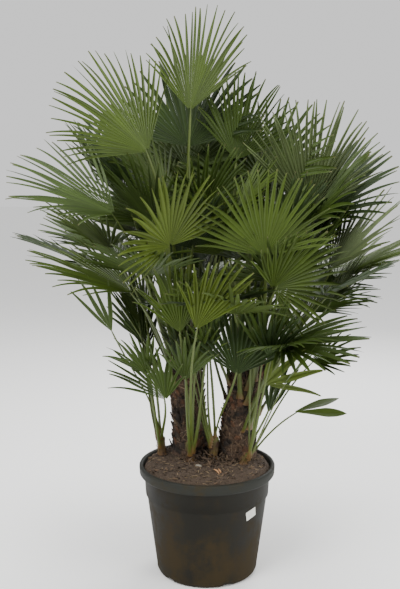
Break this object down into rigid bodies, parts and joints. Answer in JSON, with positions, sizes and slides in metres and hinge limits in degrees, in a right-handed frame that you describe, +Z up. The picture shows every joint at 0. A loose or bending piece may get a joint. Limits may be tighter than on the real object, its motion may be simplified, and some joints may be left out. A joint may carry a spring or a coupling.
{
  "type": "potted fan palm",
  "caption": "Clump of fan palms with fibrous trunks, basal shoots and folded fan-shaped fronds on long stalks, growing in a round black nursery pot.",
  "frame": {"origin": "centre of the pot's flat underside, on the floor it stands on", "axes": "+Z up along the pot's axis; the side shown in the picture looks along -Y, and +X is to the right in that view"},
  "size_m": [1.7331, 1.4451, 2.2595],
  "materials": {
    "pot_plastic": "matt charcoal moulded plastic, stained with soil low down",
    "soil": "moist brown compost with fibres and bark chips",
    "trunk_fibre": "rough dark brown fibre and old leaf bases",
    "sucker_sheath": "orange-brown fibrous leaf sheaths",
    "frond": "leathery green leaf, faintly glossy above and greyer below"
  },
  "bodies": {
    "root": {"pot": "pot_plastic", "soil": "soil", "trunk_left": "trunk_fibre", "trunk_right": "trunk_fibre", "sucker_left": "sucker_sheath", "sucker_front": "sucker_sheath", "sucker_middle": "sucker_sheath", "sucker_right": "sucker_sheath", "frond_crown_top": "frond", "frond_upper_left": "frond", "frond_far_left": "frond", "frond_front_left": "frond", "frond_low_left": "frond", "frond_upper_middle": "frond", "frond_upper_right": "frond", "frond_far_right": "frond", "frond_lower_right": "frond", "frond_front_right": "frond", "frond_middle_right": "frond", "frond_right_side": "frond", "frond_right_young": "frond", "frond_sucker_left_1": "frond", "frond_sucker_left_2": "frond", "frond_sucker_front_1": "frond", "frond_sucker_front_2": "frond", "frond_sucker_middle_1": "frond", "frond_sucker_right_1": "frond", "frond_sucker_right_2": "frond", "frond_sucker_right_3": "frond", "frond_left_01": "frond", "frond_left_02": "frond", "frond_left_03": "frond", "frond_left_04": "frond", "frond_left_05": "frond", "frond_left_06": "frond", "frond_left_07": "frond", "frond_left_08": "frond", "frond_left_09": "frond", "frond_left_10": "frond", "frond_left_11": "frond", "frond_left_12": "frond", "frond_left_13": "frond", "frond_left_14": "frond", "frond_left_15": "frond", "frond_right_01": "frond", "frond_right_02": "frond", "frond_right_03": "frond", "frond_right_04": "frond", "frond_right_05": "frond", "frond_right_06": "frond", "frond_right_07": "frond", "frond_right_08": "frond", "frond_right_09": "frond", "frond_right_10": "frond", "frond_right_11": "frond", "frond_right_12": "frond", "frond_right_13": "frond", "frond_right_14": "frond", "frond_right_15": "frond"}
  },
  "joints": []
}
